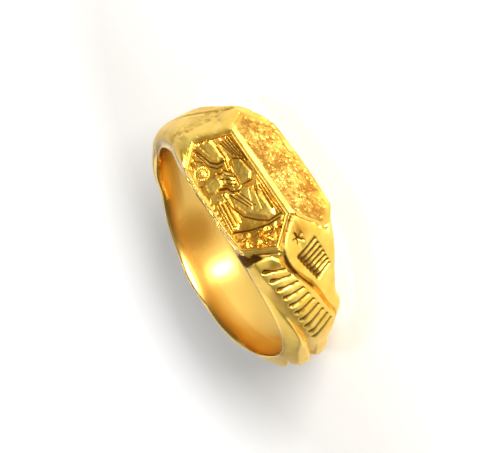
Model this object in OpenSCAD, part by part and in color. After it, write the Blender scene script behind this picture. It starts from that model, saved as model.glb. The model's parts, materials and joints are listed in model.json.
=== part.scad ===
// Finger ring cast and engraved in one piece of gold. The band is wreathed: lobes wind round it
// in shallow diagonals. It widens into a bezel whose two long panels slope down from a ridge.
// The ring is modelled standing on its axis, the ridge towards -Y, and then laid on its side,
// where it rests on the bezel's lower edge and on the back of the band.

/* [Finger hole] */
// Radius of the finger hole
bore_r = 9.05; // [8.8:0.05:9.1]
// Width of the eased corner at each mouth of the hole
ease = 0.25; // [0.1:0.05:0.3]

/* [Band] */
// Width of the band, as a share of the widths in the table
band_share = 1; // [0.95:0.01:1.03]
// Height of the lobes, as a share of the heights in the table
lobe_share = 1; // [0.6:0.1:1.1]
// Squareness of the band's cross-section, where 2 is an ellipse
squareness = 3.2; // [2.6:0.1:3.6]

/* [Bezel] */
// Height of the ridge above the axis of the finger hole
ridge_h = 12.25; // [12.2:0.05:12.6]
// Length of the ridge
ridge_l = 8; // [7.4:0.1:8.4]
// Slope of each panel below the level of the ridge, in degrees
roof_slope = 34; // [32:0.5:35]
// Width of a panel, down its slope
panel_w = 4.9; // [4.7:0.05:4.95]
// Bulge of a panel's outer long edge
bow = 0.2; // [0:0.05:0.25]
// Shift of the bezel towards -X, left by hand work
bezel_shift = 0.25; // [0:0.05:0.3]
// Width of the raised rim round a panel's field
rim_w = 0.35; // [0.3:0.05:0.45]
// Depth of the sunk field
field_deep = 0.22; // [0.15:0.01:0.25]

/* [Ornament] */
// Width of an engraved stroke
stroke_w = 0.26; // [0.2:0.02:0.34]
// Depth of an engraved stroke
stroke_deep = 0.2; // [0.1:0.05:0.25]
// Height of the figure above its field
relief = 0.13; // [0.08:0.01:0.15]
// Depth of the lower panel's worn field
worn_deep = 0.08; // [0.05:0.01:0.12]

/* [Hidden] */

// Cross-sections of the band, one every 15 degrees round the axis, counted from the ridge
// towards -X: half-width above and below the middle, radius at the groove floors, lobe height
UPPER = 1;
LOWER = 2;
FLOOR = 3;
LOBE = 4;
BAND = [
    [0, 3.95, 3.95, 12.1, 0.4], [15, 3.95, 3.95, 11.9, 0.4],
    [30, 3.95, 3.45, 11.15, 0.55], [45, 3.6, 2.7, 10.7, 0.55],
    [60, 3.15, 2.05, 10.45, 0.55], [75, 2.75, 1.75, 10.3, 0.5],
    [90, 2.45, 1.35, 10.1, 0.35], [105, 2.35, 1.75, 10.2, 0.5],
    [120, 2.45, 2.1, 10.35, 0.55], [135, 2.75, 2.2, 10.4, 0.5],
    [150, 2.9, 2.25, 10.4, 0.45], [165, 3.05, 2.3, 10.4, 0.4],
    [180, 3.05, 2.3, 10.4, 0.4], [195, 3.1, 2.3, 10.4, 0.4],
    [210, 2.8, 2.3, 10.4, 0.4], [225, 2.6, 2.3, 10.4, 0.4],
    [240, 2.3, 2.3, 10.4, 0.4], [255, 2.5, 2.3, 10.35, 0.4],
    [270, 2.45, 2.3, 10.35, 0.45], [285, 2.6, 2.3, 10.4, 0.4],
    [300, 2.8, 2.4, 10.45, 0.4], [315, 3.15, 2.7, 10.65, 0.4],
    [330, 3.8, 3.4, 11.2, 0.5], [345, 3.95, 3.95, 11.9, 0.4]
];
ROW_STEP = 360 / len(BAND);

// Grooves between the lobes, each falling from the band's upper edge to its lower one: angle
// where it crosses the middle, angles that it gains from the upper edge and to the lower one
MIDDLE = 0;
FROM_UPPER = 1;
TO_LOWER = 2;
GROOVES = [[103, 57, 29], [141, 44, 31], [180, 32, 32], [219, 31, 44], [257, 29, 57]];
// The groove next to the bezel: share of the half-width above the middle, angle
BEZEL_GROOVE = [[-1, 82], [-0.35, 61], [-0.05, 51], [0.12, 46], [0.25, 42], [0.36, 38],
                [0.45, 33], [0.6, 30], [1, 27]];
// Bulge of the lower edge where the first lobe ends: angle, spread in degrees, size
BULGE = [67.5, 5.5, 0.42];

// Corner at each end of the upper panel and of the lower one, first the -X end: reach past the
// end of the ridge, distance down the slope
TIPS = [[[1.75, 2.3], [1.45, 3.1]], [[1.9, 2.9], [1.4, 2.2]]];
bow_parts = 6;

// Rows of plain engraved strokes on the lobes of a shoulder: number of strokes, angle and
// height along the axis of the first and of the last, length, slant in degrees of both
COUNT = 0;
FIRST = 1;
LAST = 2;
LONG = 3;
SLANTS = 4;
STROKE_ROWS = [
    [10, [36, 2.4], [73.7, -0.13], 1.7, [16, 42]],
    [7, [33.2, -0.4], [45.4, -1.2], 1.5, [-30, -25]]
];
// Small star at the end of the ridge: angle, height along the axis
STAR = [28.5, 0.05];
star_points = 5;
star_arm = 0.42;

// Figure on the upper panel, in the panel's own plane: x along the ridge, y down the slope.
// Its forms are hills, robe, arm, lap and legs, each with its height in parts of the relief
HALO = [2.85, 3.75, 0.6];
HEAD_R = 0.32;
FORMS = [
    [0.5, [[4.8, 2.6], [4.5, 1.8], [3.6, 1.7], [2.8, 1.8], [2.75, 2.4], [3.5, 2.8], [4.5, 3]]],
    [0.5, [[2.3, 1.35], [1.85, 0.75], [0.5, 0.6], [0.1, 1], [0.3, 1.85], [1.3, 1.8]]],
    [0.5, [[2.2, 3.5], [2.1, 3.05], [1.6, 2.85], [0.95, 3], [0.8, 4], [1.3, 4.35], [2.1, 4.2]]],
    [0.9, [[1.9, 2.95], [1.95, 2.3], [1.2, 1.95], [0.6, 2.1], [0.4, 2.5], [0.9, 2.95]]],
    [0.5, [[0.6, 3.4], [0.65, 4.1], [-0.4, 4.35], [-2.2, 4.4], [-2.5, 4], [-1.8, 3.5]]],
    [0.7, [[0.6, 2.9], [0.15, 1.95], [-0.3, 1.35], [-1.3, 0.9], [-2.9, 0.75], [-3.4, 1],
           [-3.25, 1.7], [-2.7, 2.3], [-1.9, 2.95], [-0.8, 3.3]]],
    [0.6, [[-2.75, 4.35], [-3.2, 3.3], [-3.5, 2.65], [-3.75, 1.85], [-3.75, 0.6], [-4.1, 0.75],
           [-5.05, 2.7], [-4.1, 4.3]]]
];
// Folds of the robe and rays from the corner: ends of each ridge
FOLDS = [[[0.15, 4.05], [-2.15, 4.25]], [[0, 3.75], [-2.05, 3.95]], [[0.2, 3], [-1.5, 2.4]],
         [[0.2, 2.6], [-1.7, 1.95]], [[-0.4, 1.5], [-2.6, 1.9]], [[-0.7, 1.15], [-2.9, 1.4]]];
RAYS = [for (k = [0:4]) [[4.5 - 0.1 * k, 1.6 - 0.25 * k], [2.55 - 0.25 * k, 1.12 - 0.16 * k]]];

bezel_steps = 36;
lobe_steps = 20;
slices = 18;
arc = PI / 180 * (bore_r + 1.5);
groove_wide = 1;
groove_lean = 0.5;
bezel_groove_wide = 0.5;
shoulder_run = 3.4;
skin = 0.1;
core_r = bore_r - 0.8;
wall = 0.35;

edge_a = panel_w * cos(roof_slope);
edge_n = ridge_h - (edge_a + bow) * tan(roof_slope);
back_n = bore_r + 0.9;
back_a = BAND[12][LOWER] * band_share;
rest_tilt = atan((edge_a + bow - back_a) / (bore_r + back_n));

// Smooth value of a column of the table at any angle
function row(i) = BAND[(i + 2 * len(BAND)) % len(BAND)];
function at(angle, column) =
    let (i = floor(angle / ROW_STEP), u = angle / ROW_STEP - i,
         a = row(i - 1)[column], b = row(i)[column],
         c = row(i + 1)[column], d = row(i + 2)[column])
    b + (c - a) * u / 2 + (a - 2.5 * b + 2 * c - d / 2) * u * u
      + (1.5 * (b - c) + (d - a) / 2) * u * u * u;

// Angle of each groove at a share s of the half-width, once round from the bezel's +X end
function groove(k, s) =
    k == 0 ? -lookup(-s, BEZEL_GROOVE)
    : k == 1 ? lookup(s, BEZEL_GROOVE)
    : k == len(GROOVES) + 2 ? 360 - lookup(-s, BEZEL_GROOVE)
    : GROOVES[k - 2][MIDDLE] - GROOVES[k - 2][s > 0 ? FROM_UPPER : TO_LOWER] * s;

// Height of a lobe, from 0 in a groove to 1 on the crown, at a share f of the way from groove
// k to the next; the crown leans away from the bezel
function swell(x) = let (t = min(1, x)) t * (2 - t);
function slack(k, s) = norm([1, (groove(k, s + 0.05) - groove(k, s - 0.05)) * 10 * arc / 2.6]);
function crown(k, f, s) =
    let (from = groove(k, s), to = groove(k + 1, s), angle = from + (to - from) * f,
         lean = groove_lean * sin(angle),
         before = k < 2 ? bezel_groove_wide : groove_wide + lean,
         after = k == 0 || k > len(GROOVES) ? bezel_groove_wide : groove_wide - lean)
    min(swell((angle - from) * arc / slack(k, s) / before),
        swell((to - angle) * arc / slack(k + 1, s) / after));

// Level of the roof at a height a from the ridge, and the reach of a panel's end there
function roof(a) = ridge_h - abs(a) * tan(roof_slope);
function reach(a, side) =
    let (down = min(abs(a) / cos(roof_slope), panel_w), tip = TIPS[a > 0 ? 0 : 1][side])
    ridge_l / 2 + tip[0] * min(down / tip[1], (panel_w - down) / (panel_w - tip[1]));

// Half-width of the band at an angle, above the middle for a positive side
function half(angle, side) =
    band_share * (side > 0 ? at(angle, UPPER)
                           : at(angle, LOWER) + BULGE[2] * exp(-pow((angle - BULGE[0]) / BULGE[1], 2)));

// Radius of the band's skin: under the roof wherever the bezel covers it, and rising past the
// ends of the roof until it is all but flush with them
function skin_r(angle, a, s, lobe) =
    let (swing = sqrt(max(0, 1 - pow(abs(s), squareness))),
         free = bore_r + ease + (at(angle, FLOOR) - bore_r - ease) * pow(swing, 2 / squareness)
             + lobe_share * at(angle, LOBE) * lobe * pow(swing, 0.4),
         west = sin(angle) > 0,
         end_x = reach(a, west ? 0 : 1) + (west ? bezel_shift : -bezel_shift),
         turn = abs((angle + 180) % 360 - 180),
         past = (turn - atan2(end_x, roof(a))) * arc,
         step = norm([end_x, roof(a)]) - skin - free,
         rise = step * min(1, (1 - abs(s)) * 6),
         under = roof(a) - lookup(-past, [[0, skin], [rim_w, wall + field_deep]]))
    past > 0 ? free + rise * pow(max(0, 1 - past / shoulder_run), 1.4)
             : min(free + rise, max(bore_r + skin, under / cos(angle)));

function place(angle, r, a) = [-r * sin(angle), -r * cos(angle), a];

// One slanting section along a lobe, from the upper mouth of the hole over the outside to the
// lower mouth
function section(k, f) =
    let (angle = function(s) groove(k, s) * (1 - f) + groove(k + 1, s) * f,
         up = half(angle(1), 1), low = half(angle(-1), -1))
    concat(
        [place(angle(1), core_r, up - ease - (bore_r - core_r)),
         place(angle(1), bore_r + ease, up)],
        [for (i = [1:slices - 1])
            let (q = 90 - 180 * i / slices, s = sign(q) * pow(abs(sin(q)), 2 / squareness),
                 t = angle(s), a = s * half(t, s))
            place(t, skin_r(t, a, s, crown(k, f, s)), a)],
        [place(angle(-1), bore_r + ease, -low),
         place(angle(-1), core_r, -low + ease + (bore_r - core_r))]
    );

// Sections lie closer together beside the grooves
sections = [
    for (k = [0:len(GROOVES) + 1])
        let (count = k == 0 ? bezel_steps : lobe_steps)
        for (i = [0:count - 1]) section(k, (1 - cos(180 * i / count)) / 2)
];
across = len(sections[0]);

// The way to lay the finished ring on the floor
function tilted(p) = [
    p.x,
    p.y * cos(rest_tilt) + p.z * sin(rest_tilt),
    p.z * cos(rest_tilt) - p.y * sin(rest_tilt)
];
rim = [for (x = [-ridge_l / 2, 0, ridge_l / 2])
    [x - bezel_shift, edge_a + bow * (1 - pow(2 * x / ridge_l, 2))]];
corners = concat(
    [for (p = rim, side = [-1, 1]) [p[0], p[1] * tan(roof_slope) - ridge_h, side * p[1]]],
    [for (x = [-1, 1]) [x * ridge_l / 2 - bezel_shift, -ridge_h, 0]],
    [[0, -bore_r, -edge_a - bow]]
);
shell = [for (s = sections, p = s) if (norm([p.x, p.y]) > bore_r) tilted(p)];
solid_points = concat(shell, [for (p = corners) tilted(p)]);
lowest = [for (k = [0:2]) min([for (p = solid_points) p[k]])];
highest = [for (k = [0:2]) max([for (p = solid_points) p[k]])];

module band() {
    count = len(sections) * across;
    faces = [
        for (i = [0:len(sections) - 1], k = [0:across - 1])
            let (a = i * across + k, b = i * across + (k + 1) % across,
                 c = (a + across) % count, d = (b + across) % count)
            each [[a, b, c], [b, d, c]]
    ];
    polyhedron([for (s = sections) each s], faces);
}

// Outline of panel 0, the upper one, or 1 in its own plane, drawn in by the same width all round
function panel(which, inset) =
    let (deep = panel_w - inset,
         end = [for (tip = TIPS[which])
             let (fall = panel_w - tip[1], upper = norm(tip) / tip[1],
                  lower = norm([tip[0], fall]) / fall)
             [[ridge_l / 2 + (tip[0] / tip[1] - upper) * inset, inset],
              [ridge_l / 2 + tip[0] - inset * max(upper, lower), tip[1]],
              [ridge_l / 2 + (tip[0] / fall - lower) * inset, deep]]])
    concat(
        [for (p = end[0]) [-p.x, p.y]],
        [for (i = [1:bow_parts - 1])
            let (x = 2 * i / bow_parts - 1)
            [x * ridge_l / 2, deep + bow / cos(roof_slope) * (1 - x * x)]],
        [for (i = [2:-1:0]) end[1][i]]
    );

module on_panel(upper = true) {
    mirror([0, 0, upper ? 0 : 1]) translate([-bezel_shift, -ridge_h, 0])
        rotate([90 - roof_slope, 0, 0]) children();
}

// Seen along its height the bezel is two hexagons side by side, seen along the ridge a gable
module bezel_block() {
    halves = [for (which = [0, 1])
        [for (p = panel(which, 0)) [p.x, (which == 0 ? 1 : -1) * p.y * cos(roof_slope)]]];
    last = len(halves[1]) - 1;
    deep = edge_a + bow;
    intersection() {
        translate([-bezel_shift, 0, 0]) rotate([90, 0, 0]) linear_extrude(ridge_h + 1)
            polygon(concat(halves[0], [for (i = [last - 1:-1:1]) halves[1][i]]));
        rotate([0, -90, 0]) rotate([0, 0, 90]) linear_extrude(2 * ridge_l, center = true)
            polygon([[-core_r, -deep], [-edge_n, -deep], [-ridge_h, 0], [-edge_n, deep],
                     [-core_r, deep]]);
    }
}

module field(which, deep) {
    translate([0, 0, -deep]) linear_extrude(1) polygon(panel(which, rim_w));
}

// Ridge with a triangular section, from one point of a panel's field to another
module bar(ends, wide) {
    reach = ends[1] - ends[0];
    translate(ends[0]) rotate([0, 0, atan2(reach.y, reach.x)]) rotate([90, 0, 90])
        linear_extrude(norm(reach)) polygon([[-wide, 0], [wide, 0], [0, wide]]);
}

// Robed figure with a halo between hills, on leafy ground, below a fan of rays
module figure() {
    sunk = 0.05;
    translate([0, 0, -field_deep - sunk]) {
        for (form = FORMS) linear_extrude(sunk + relief * form[0]) polygon(form[1]);
        translate([HALO.x, HALO.y, 0]) {
            cylinder(h = sunk + relief / 2, r = HALO[2], $fn = 24);
            cylinder(h = sunk + relief, r = HEAD_R, $fn = 20);
        }
    }
    translate([0, 0, -field_deep - 0.01]) for (r = RAYS) bar(r, relief / 2);
    translate([0, 0, -field_deep + relief / 2 - 0.01]) for (f = FOLDS) bar(f, relief / 2);
}

module bezel() {
    difference() {
        bezel_block();
        on_panel() field(0, field_deep);
        on_panel(false) field(1, worn_deep);
    }
    on_panel() figure();
}

// A spot on the crown of a lobe, with the cutting edge turned inwards
module on_shoulder(spot) {
    share = spot.y / half(spot.x, spot.y);
    rotate([0, 0, -spot.x]) translate([0, -skin_r(spot.x, spot.y, share, 1), spot.y]) children();
}

module cut(length, deep, middle) {
    linear_extrude(length, center = middle)
        polygon([[-stroke_w / 2, -deep], [stroke_w / 2, -deep], [0, deep]]);
}

module strokes() {
    for (r = STROKE_ROWS, k = [0:r[COUNT] - 1]) {
        t = k / (r[COUNT] - 1);
        on_shoulder(r[FIRST] + (r[LAST] - r[FIRST]) * t)
            rotate([0, r[SLANTS][0] + (r[SLANTS][1] - r[SLANTS][0]) * t, 0])
            cut(r[LONG], stroke_deep, true);
    }
    on_shoulder(STAR) for (k = [0:star_points - 1])
        rotate([0, 360 / star_points * k, 0]) cut(star_arm, stroke_deep / 2, false);
}

module ring() {
    color("gold")
    translate([-(lowest.x + highest.x) / 2, -(lowest.y + highest.y) / 2, -lowest.z])
    rotate([-rest_tilt, 0, 0])
    difference() {
        union() {
            band();
            bezel();
        }
        cylinder(h = 20, r = bore_r, center = true, $fn = 96);
        for (shoulder = [0, 180]) rotate([0, shoulder, 0]) strokes();
    }
}

ring();
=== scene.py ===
import json
import math
import bpy
import numpy as np
from mathutils import Matrix, Vector


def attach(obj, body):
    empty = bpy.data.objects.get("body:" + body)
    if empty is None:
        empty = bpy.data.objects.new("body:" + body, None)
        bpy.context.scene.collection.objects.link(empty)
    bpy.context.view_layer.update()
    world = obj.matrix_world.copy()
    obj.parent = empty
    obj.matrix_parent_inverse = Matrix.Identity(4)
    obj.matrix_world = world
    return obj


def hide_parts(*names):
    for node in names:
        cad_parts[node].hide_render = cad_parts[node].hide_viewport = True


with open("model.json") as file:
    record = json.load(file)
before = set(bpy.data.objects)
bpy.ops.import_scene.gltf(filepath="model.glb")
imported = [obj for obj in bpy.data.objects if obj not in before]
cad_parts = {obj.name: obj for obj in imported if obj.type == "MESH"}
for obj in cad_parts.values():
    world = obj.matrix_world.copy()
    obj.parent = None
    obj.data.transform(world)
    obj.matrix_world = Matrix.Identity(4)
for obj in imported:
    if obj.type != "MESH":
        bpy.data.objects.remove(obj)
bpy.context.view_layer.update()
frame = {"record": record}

# Camera. The ring lies on its side, on the bezel's long edge and on the back of the band, and is
# seen from a little to the left of the bezel and above it, with the camera rolled over.
# Bearing, height and roll round the upright ring, in degrees
SIDEWAYS, HEIGHT, ROLL = -19.73, 17, -118.39
# Distance from the middle of the hole, and the way to the picture's right and up, in mm
AWAY, TO_RIGHT, TO_TOP = 220, 0.367, 0.905
SENSOR = 36
LENS = 203.07
finger_hole = frame["record"]["mounts"][0]
hole_centre = np.array(finger_hole["pos_m"]) * 1000
hole_axis = np.array(finger_hole["axis"])
lean = math.atan2(hole_axis[1], hole_axis[2])


def laid(points):
    """Turn points of the upright ring, in mm with its axis along Z, to where it lies, in metres."""
    x, y, z = np.moveaxis(np.asarray(points, float), -1, 0)
    turned = np.stack([x, y * math.cos(lean) + z * math.sin(lean),
                       z * math.cos(lean) - y * math.sin(lean)], -1)
    return (turned + hole_centre) / 1000


sideways, height, roll = math.radians(SIDEWAYS), math.radians(HEIGHT), math.radians(ROLL)
back = Vector((math.sin(sideways) * math.cos(height),
               -math.cos(sideways) * math.cos(height), math.sin(height)))
right = Vector((0, 0, 1)).cross(back).normalized()
up = back.cross(right)
right, up = (right * math.cos(roll) + up * math.sin(roll),
             up * math.cos(roll) - right * math.sin(roll))
camera_at = back * AWAY + right * TO_RIGHT + up * TO_TOP
origin = Vector(laid((0, 0, 0)))
lens_at = Vector(laid(camera_at))
axes = [Vector(laid(a)) - origin for a in (right, up, back)]
camera_data = bpy.data.cameras.new("camera")
camera_data.sensor_width = SENSOR
camera_data.lens = LENS
camera_data.clip_end = 10
camera = bpy.data.objects.new("camera", camera_data)
turn = Matrix([a.normalized() for a in axes]).transposed().to_4x4()
camera.matrix_world = Matrix.Translation(lens_at) @ turn
bpy.context.scene.collection.objects.link(camera)
bpy.context.scene.camera = camera

# Band. A finger ring's hoop, cast in gold and chased, with lobes that wind round it in shallow
# diagonals. The shoulders beside the bezel carry rows of plain cut strokes and a small star.
# Radius of the finger hole, how far out and how deep its mouths are eased, in mm
BORE_R = 9.05
EASE = 0.32
MOUTH_DEEP = 1.3
# The most of the half-width that a mouth takes up where the band is narrow
MOUTH_SHARE = 0.7
ROW_STEP = 15
# Cross-sections every 15 degrees from the bezel towards the starred shoulder:
# half-width above the middle, half-width below, radius at the groove floors, lobe height
BAND_ROWS = np.array([
    [4.18, 4.18, 12.0, 0.3], [4.12, 4.1, 11.8, 0.35],
    [3.95, 3.5, 11.15, 0.5], [3.6, 2.7, 10.7, 0.5],
    [3.15, 2.05, 10.45, 0.5], [2.75, 1.75, 10.3, 0.5],
    [2.45, 1.35, 10.1, 0.35], [2.35, 1.75, 10.2, 0.5],
    [2.45, 2.1, 10.35, 0.55], [2.75, 2.2, 10.4, 0.5],
    [2.9, 2.25, 10.4, 0.45], [3.05, 2.3, 10.4, 0.4],
    [3.05, 2.3, 10.4, 0.4], [3.1, 2.3, 10.4, 0.4],
    [2.8, 2.3, 10.4, 0.4], [2.6, 2.3, 10.4, 0.4],
    [2.3, 2.3, 10.4, 0.4], [2.5, 2.3, 10.35, 0.4],
    [2.45, 2.3, 10.35, 0.45], [2.6, 2.3, 10.4, 0.4],
    [2.8, 2.4, 10.45, 0.4], [3.15, 2.7, 10.65, 0.4],
    [3.8, 3.4, 11.2, 0.5], [4.12, 4.1, 11.8, 0.35]])
UPPER, LOWER, FLOOR, LOBE = range(4)
# Bulge of the lower edge where the first lobe ends: angle, spread in degrees, mm
BULGE = (67.5, 5.5, 0.42)
# Grooves between lobes: angle at the middle, angle gained from the upper edge and to the lower
# one, width of the slope before it and after it in mm
GROOVES = [(107, 60, 28, 0.95, 0.45), (141, 44, 31, 0.8, 0.6), (180, 32, 32, 0.7, 0.7),
           (219, 31, 44, 0.6, 0.8), (257, 29, 57, 0.45, 0.95)]
# Groove beside the bezel: share of the half-width above the middle, angle
BEZEL_GROOVE = ((-1, -0.35, -0.05, 0.12, 0.25, 0.36, 0.45, 0.6, 0.8, 0.95, 1),
                (82, 61, 51, 46, 42, 38, 33, 30, 29, 28.5, 27))


def around(angle, column):
    """Smooth value of a column of the cross-sections at any angle."""
    place = np.asarray(angle) / ROW_STEP
    i = np.floor(place).astype(int)
    t = place - i
    a, b, c, d = (BAND_ROWS[(i + k) % len(BAND_ROWS), column] for k in (-1, 0, 1, 2))
    return (b + (c - a) * t / 2 + (a - 2.5 * b + 2 * c - d / 2) * t ** 2
            + (1.5 * (b - c) + (d - a) / 2) * t ** 3)


def groove_angle(k, share):
    """Angle of the groove k at a share of the half-width above the middle."""
    share = np.asarray(share, float)
    if k == 0:
        return -np.interp(-share, *BEZEL_GROOVE)
    if k == 1:
        return np.interp(share, *BEZEL_GROOVE)
    if k == len(GROOVES) + 2:
        return 360 - np.interp(-share, *BEZEL_GROOVE)
    middle, gained, lost = GROOVES[k - 2][:3]
    return middle - np.where(share > 0, gained, lost) * share


def swell(x):
    """Rounded rise from 0 to 1, level from x = 1 on."""
    t = np.clip(x, 0, 1)
    return t * (2 - t)


def ease_in(x):
    """Soft step from 0 to 1."""
    t = np.clip(x, 0, 1)
    return t * t * (3 - 2 * t)


def mottle(points, grain, seed):
    """Smooth random unevenness from -1 to 1, with lumps about as large as the grain in mm."""
    period = 32
    lattice = np.random.default_rng(seed).uniform(-1, 1, (period, period, period))
    p = np.asarray(points) / grain
    cell = np.floor(p).astype(int)
    t = p - cell
    t = t * t * (3 - 2 * t)
    total = 0
    for dx in (0, 1):
        for dy in (0, 1):
            for dz in (0, 1):
                weight = (np.where(dx, t[..., 0], 1 - t[..., 0])
                          * np.where(dy, t[..., 1], 1 - t[..., 1])
                          * np.where(dz, t[..., 2], 1 - t[..., 2]))
                total = total + weight * lattice[(cell[..., 0] + dx) % period,
                                                 (cell[..., 1] + dy) % period,
                                                 (cell[..., 2] + dz) % period]
    return total


def mottles(points, *layers):
    """Unevenness in several grains: height of each, its grain in mm and its seed."""
    return sum(high * mottle(points, grain, seed) for high, grain, seed in layers)


def from_line(x, y, ends):
    """Distance from a straight line, and the share of the way along it."""
    (x0, y0), (x1, y1) = ends
    run = math.hypot(x1 - x0, y1 - y0)
    t = np.clip(((x - x0) * (x1 - x0) + (y - y0) * (y1 - y0)) / run ** 2, 0, 1)
    return np.hypot(x - x0 - t * (x1 - x0), y - y0 - t * (y1 - y0)), t


def inside(x, y, corners):
    """Distance inside a polygon, negative outside it."""
    away, within = None, np.zeros(np.shape(x), bool)
    for (x0, y0), (x1, y1) in zip(corners, corners[1:] + corners[:1]):
        d = from_line(x, y, ((x0, y0), (x1, y1)))[0]
        away = d if away is None else np.minimum(away, d)
        if y0 != y1:
            within ^= ((y0 > y) != (y1 > y)) & (x < x0 + (y - y0) * (x1 - x0) / (y1 - y0))
    return np.where(within, away, -away)


# The head's share of a stroke's length, and how much of its broadening also goes into its depth
HEAD_RUN, HEAD_DEEPER = 0.3, 0.4


def graver_cut(x, y, ends, wide, deep, head=0.0):
    """Depth of a V cut whose first end is broadened by the graver into a wedge."""
    d, t = from_line(x, y, ends)
    near_head = np.clip(1 - t / HEAD_RUN, 0, 1)
    broad = wide * (1 + head * near_head)
    return deep * (1 + HEAD_DEEPER * head * near_head) * np.clip(1 - d / broad, 0, 1)


# Places on the shoulders are degrees round the band and mm above its middle. Degrees are turned
# to mm at this radius
SHOULDER_R = 10.9
# Rows of strokes: number of strokes, head and tail of the first, head and tail of the last
STROKES = [(10, (34.9, 3.14), (37.1, 1.67), (77.4, 0.6), (70, -0.86)),
           (7, (35.3, 0.35), (31.2, -1.16), (46.8, -0.6), (44, -1.8))]
STAR = (28.2, 0.05)
STAR_ARMS = 5
STAR_TURN = 20
STAR_ARM = 0.42
# Cuts of the graver: half-width and depth in mm, and how much broader the head is
STROKE_CUT = (0.14, 0.25, 0.9)
STAR_CUT = (0.1, 0.2, 0.3)
# Hollow between the bezel's corner, the first lobe and the mouth of the hole
HOLLOW = [(24, 4.4), (25, 3.5), (29.5, 2.9), (30, 3.6), (33, 4.3), (30, 4.8)]
# Crease from the end of the ridge down beside the upper plate, and along its end
CREASE = [(19.6, -0.3), (21.6, 0.18), (23.8, 0.67), (26.9, 1.26), (29.1, 1.52), (31.3, 1.61),
          (33.9, 1.54), (37.8, 1.24), (42, 0.83)]
CREASE_END = [(46.3, 0.38), (51.3, -0.12), (61, -0.9), (82, -2.2)]
END_CREASE = [(29.6, 1.6), (29.5, 2.0), (28.7, 2.5), (27.7, 3.0), (26.6, 3.5), (25.6, 4.0)]
# How each stretch is cut: points, half-width and depth in mm
CREASE_CUTS = [(CREASE[1:3], 0.2, 0.3), (CREASE, 0.13, 0.22),
               ([CREASE[-1]] + CREASE_END[:2], 0.12, 0.1), (END_CREASE, 0.11, 0.18)]
HOLLOW_DEEP = 0.55


def shoulder_cuts(angle, a, creased):
    """Depth of the strokes and the star on one shoulder, and of its creases and hollow."""
    mm = math.radians(1) * SHOULDER_R
    x, deep = angle * mm, np.zeros(np.shape(angle))
    for count, head0, tail0, head1, tail1 in STROKES:
        for i in range(count):
            t = i / (count - 1)
            ends = [((p[0] + (q[0] - p[0]) * t) * mm, p[1] + (q[1] - p[1]) * t)
                    for p, q in ((head0, head1), (tail0, tail1))]
            deep = np.maximum(deep, graver_cut(x, a, ends, *STROKE_CUT))
    centre = (STAR[0] * mm, STAR[1])
    for arm in range(STAR_ARMS):
        way = math.radians(STAR_TURN + 360 / STAR_ARMS * arm)
        tip = (centre[0] + STAR_ARM * math.cos(way), centre[1] + STAR_ARM * math.sin(way))
        deep = np.maximum(deep, graver_cut(x, a, (centre, tip), *STAR_CUT))
    if not creased:
        return deep
    for route, wide, depth in CREASE_CUTS:
        route = [(p[0] * mm, p[1]) for p in route]
        for ends in zip(route, route[1:]):
            deep = np.maximum(deep, graver_cut(x, a, ends, wide, depth))
    corner = [(p[0] * mm, p[1]) for p in HOLLOW]
    return np.maximum(deep, HOLLOW_DEEP * ease_in(inside(x, a, corner) / 0.3 + 0.3))


# Length of a degree at the groove floors and the band's usual half-width, in mm
GROOVE_MM = 0.185
HALF_WIDTH = 2.6
# Width of the slope beside the bezel's grooves in mm, and how far they are worn away
BEZEL_SLOPE = 0.25
WORN = 0.94


def slack(k, share):
    """Length gained by measuring across a groove along the band."""
    slant = (groove_angle(k, share + 0.05) - groove_angle(k, share - 0.05)) * 10
    return np.hypot(1, slant * GROOVE_MM / HALF_WIDTH)


def lobe_form(k, angle, share):
    """Height of a lobe between grooves k and k + 1, 0 in a groove and 1 on the crown."""
    before = GROOVES[k - 2][4] if k >= 2 else BEZEL_SLOPE
    after = GROOVES[k - 1][3] if 1 <= k <= len(GROOVES) else BEZEL_SLOPE
    here = (angle - groove_angle(k, share)) * GROOVE_MM / slack(k, share)
    there = (groove_angle(k + 1, share) - angle) * GROOVE_MM / slack(k + 1, share)
    rise, fall = swell(here / before), swell(there / after)
    # The grooves beside the bezel are worn to a crease above the middle
    worn = WORN * ease_in((share + 0.8) / 0.6)
    if k < 2:
        rise, fall = (1 - worn * (1 - rise), fall) if k else (rise, 1 - worn * (1 - fall))
    return np.minimum(rise, fall)


# Roof of the bezel, which the band comes up to: slope, the ridge's distance from the hole's axis
# and its length, width of a panel down its slope, bow of the long edges, offset towards -X
ROOF_SLOPE = math.radians(34)
RIDGE_H = 12.25
RIDGE_L = 8
PANEL_W = 4.9
BOW = 0.2
SHIFT = 0.25
# Corner at each end of the upper panel and of the lower one, -X end first: reach past the end
# of the ridge, distance down the slope
TIPS = (((1.75, 2.3), (1.45, 3.1)), ((1.9, 2.9), (1.4, 2.2)))


def reach(down, panel, side):
    """Half-length of a panel at a distance down its slope."""
    past, at = TIPS[panel][side]
    down = np.clip(down, 0, PANEL_W)
    return RIDGE_L / 2 + past * np.minimum(down / at, (PANEL_W - down) / (PANEL_W - at))


# Cross-section of the band: how square it is, how much less its edges are eased at the back, and
# the powers that round the groove floors and the lobes, beside the bezel and what the back adds
SQUARENESS = 3.2
LESS_EASED = 0.6
FLOOR_POWER = (0.62, 0.38)
LOBE_POWER = (0.4, 0.3)
# Margin beside the mouth of the hole: angle, height of the crease that ends it, slope above the
# crease and below it as millimetres out for each one across
MARGIN = [(36, 3.8, 4, 4), (42, 3.7, 3, 2.5), (50, 3.15, 2, 1.3), (60, 2.75, 1.6, 1),
          (94, 0.65, 1.4, 1)]
# Bluntness of the margin's crease in mm, and the sine of the angle where the margin begins
MARGIN_BLUNT = 0.12
MARGIN_FROM = 0.45
# Length of a degree on the shoulders' skin in mm
SKIN_MM = 0.2
# Rise of the shoulders to the plates: the way it takes along the band in mm, what it takes more
# on the starred lobe, the way low on the far shoulder, and its power
RISE_RUN = 1.8
RISE_STAR = 2
RISE_FAR = 3.6
RISE_POWER = 1.4


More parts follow.
